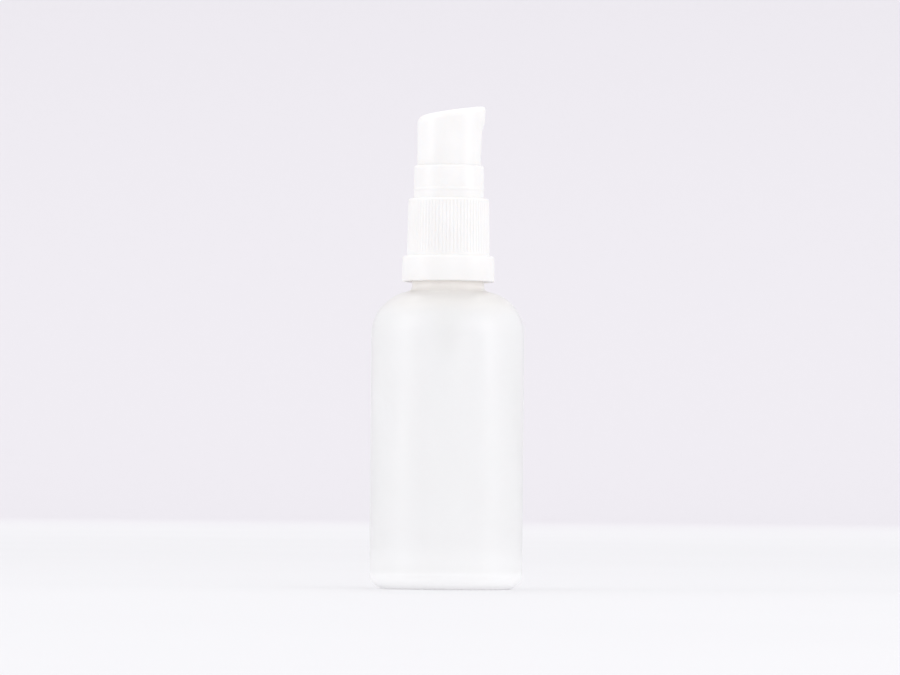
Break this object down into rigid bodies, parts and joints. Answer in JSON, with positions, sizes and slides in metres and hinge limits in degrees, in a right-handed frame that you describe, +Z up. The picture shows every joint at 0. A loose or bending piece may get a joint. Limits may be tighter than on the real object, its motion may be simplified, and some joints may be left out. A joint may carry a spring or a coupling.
{
  "type": "pump oil bottle",
  "caption": "Round frosted glass bottle with rounded shoulders and a screw-on white hand pump, whose slanted button has a short side nozzle.",
  "frame": {"origin": "centre of the base, on the plane that the bottle stands on", "axes": "+Z up along the bottle's axis, +X towards the pump's nozzle"},
  "size_m": [0.0374, 0.0374, 0.1182],
  "materials": {
    "frosted_glass": "etched, translucent",
    "white_plastic": "satin polypropylene",
    "natural_plastic": "uncoloured polypropylene",
    "soft_plastic": "soft polyethylene",
    "clear_plastic": "uncoloured, translucent",
    "steel": "bright stainless steel"
  },
  "bodies": {
    "bottle": {"glass_bottle": "frosted_glass"},
    "pump_engine": {"pump_housing": "natural_plastic", "guide_ring": "natural_plastic", "neck_gasket": "soft_plastic", "dip_tube": "clear_plastic", "pump_spring": "steel"},
    "collar": {"screw_collar": "white_plastic"},
    "plunger": {"stem": "natural_plastic", "piston_rod": "natural_plastic"},
    "piston": {"piston": "soft_plastic"},
    "button": {"actuator": "white_plastic"},
    "ball": {"inlet_ball": "steel"}
  },
  "joints": [
    {"name": "pump_lift", "type": "slide", "parent": "bottle", "child": "pump_engine", "axis": [0, 0, 1], "range_m": [0, 0.006]},
    {"name": "collar_turn", "type": "hinge", "parent": "pump_engine", "child": "collar", "pos_m": [0, 0, 0.09], "axis": [0, 0, 1], "range_deg": [0, 720]},
    {"name": "pump_stroke", "type": "slide", "parent": "pump_engine", "child": "plunger", "axis": [0, 0, -1], "range_m": [0, 0.0048], "stiffness_N_per_m": 1200, "springref_m": -0.003, "deforming": ["pump_spring"]},
    {"name": "piston_slip", "type": "slide", "parent": "plunger", "child": "piston", "axis": [0, 0, 1], "range_m": [0, 0.001]},
    {"name": "button_swivel", "type": "hinge", "parent": "plunger", "child": "button", "pos_m": [0, 0, 0.105], "axis": [0, 0, 1], "continuous": true},
    {"name": "ball_lift", "type": "slide", "parent": "pump_engine", "child": "ball", "axis": [0, 0, 1], "range_m": [0, 0.0009]}
  ],
  "couplings": [
    {"joint": "pump_lift", "follows": "collar_turn", "m_per_rad": 0.00047746}
  ]
}
